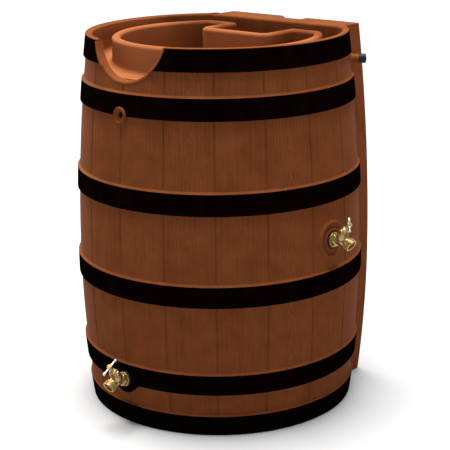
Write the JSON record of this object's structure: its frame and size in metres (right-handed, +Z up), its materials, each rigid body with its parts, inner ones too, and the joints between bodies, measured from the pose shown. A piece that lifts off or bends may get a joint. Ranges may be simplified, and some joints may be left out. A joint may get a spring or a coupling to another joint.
{
  "type": "rain barrel",
  "caption": "Flat-backed barrel-shaped rain tank with planter top, front spill notch, overflow hole, brass hose spigots and a capped side port.",
  "frame": {"origin": "on the barrel axis at the floor", "axes": "+Z up, -Y to the front with the spill notch and lower spigot, +Y to the flat back, +X to the side spigot"},
  "size_m": [0.6774, 0.6315, 0.804],
  "materials": {
    "shell": "moulded polyethylene with embossed wood grain",
    "facing": "near-black brown moulded skin, satin",
    "brass": "cast and turned yellow brass",
    "steel": "nickel-plated steel",
    "rubber": "black sealing rubber",
    "cap": "black vinyl push-on cap",
    "screen": "black moulded screen"
  },
  "bodies": {
    "barrel": {"barrel_shell": "shell", "trough_floor": "shell", "planter_bowl": "shell", "base_hoop_facing": "facing", "spigot_hoop_facing": "facing", "belly_hoop_facing": "facing", "shoulder_hoop_facing": "facing", "overflow_hoop_facing": "facing", "rim_hoop_facing_left": "facing", "rim_hoop_facing_right": "facing", "lower_spigot_body": "brass", "lower_spigot_outer_gasket": "rubber", "lower_spigot_inner_gasket": "rubber", "lower_spigot_lock_nut": "brass", "lower_spigot_bonnet": "brass", "lower_spigot_packing": "rubber", "lower_spigot_packing_nut": "brass", "side_spigot_body": "brass", "side_spigot_outer_gasket": "rubber", "side_spigot_inner_gasket": "rubber", "side_spigot_lock_nut": "brass", "side_spigot_bonnet": "brass", "side_spigot_packing": "rubber", "side_spigot_packing_nut": "brass"},
    "lower_seat_washer": {"lower_spigot_seat_washer": "rubber"},
    "lower_stem": {"lower_spigot_stem": "brass", "lower_spigot_washer_screw": "brass", "lower_spigot_handle_hub": "brass", "lower_spigot_set_screw": "steel", "lower_spigot_handle_bar": "steel"},
    "side_seat_washer": {"side_spigot_seat_washer": "rubber"},
    "side_stem": {"side_spigot_stem": "brass", "side_spigot_washer_screw": "brass", "side_spigot_handle_hub": "brass", "side_spigot_set_screw": "steel", "side_spigot_handle_bar": "steel"},
    "port_cap": {"port_cap": "cap"},
    "inlet_screen": {"inlet_screen_frame": "screen", "inlet_screen_sheet": "screen"}
  },
  "joints": [
    {"name": "lower_valve_lift", "type": "slide", "parent": "barrel", "child": "lower_seat_washer", "axis": [0, -0.5299, 0.848], "range_m": [0, 0.003]},
    {"name": "lower_handle_turn", "type": "hinge", "parent": "lower_seat_washer", "child": "lower_stem", "pos_m": [0, -0.32978, 0.114], "axis": [0, -0.5299, 0.848], "range_deg": [0, 540]},
    {"name": "side_valve_lift", "type": "slide", "parent": "barrel", "child": "side_seat_washer", "axis": [0.5299, 0, 0.848], "range_m": [0, 0.003]},
    {"name": "side_handle_turn", "type": "hinge", "parent": "side_seat_washer", "child": "side_stem", "pos_m": [0.33294, 0, 0.406], "axis": [0.5299, 0, 0.848], "range_deg": [0, 540]},
    {"name": "port_cap_pull", "type": "slide", "parent": "barrel", "child": "port_cap", "axis": [0.7071, 0.7071, 0], "range_m": [0, 0.04]},
    {"name": "inlet_screen_lift", "type": "slide", "parent": "barrel", "child": "inlet_screen", "axis": [0, 0, 1], "range_m": [0, 0.12]}
  ],
  "couplings": [
    {"joint": "lower_handle_turn", "follows": "lower_valve_lift", "rad_per_m": 3141.6},
    {"joint": "side_handle_turn", "follows": "side_valve_lift", "rad_per_m": 3141.6}
  ]
}
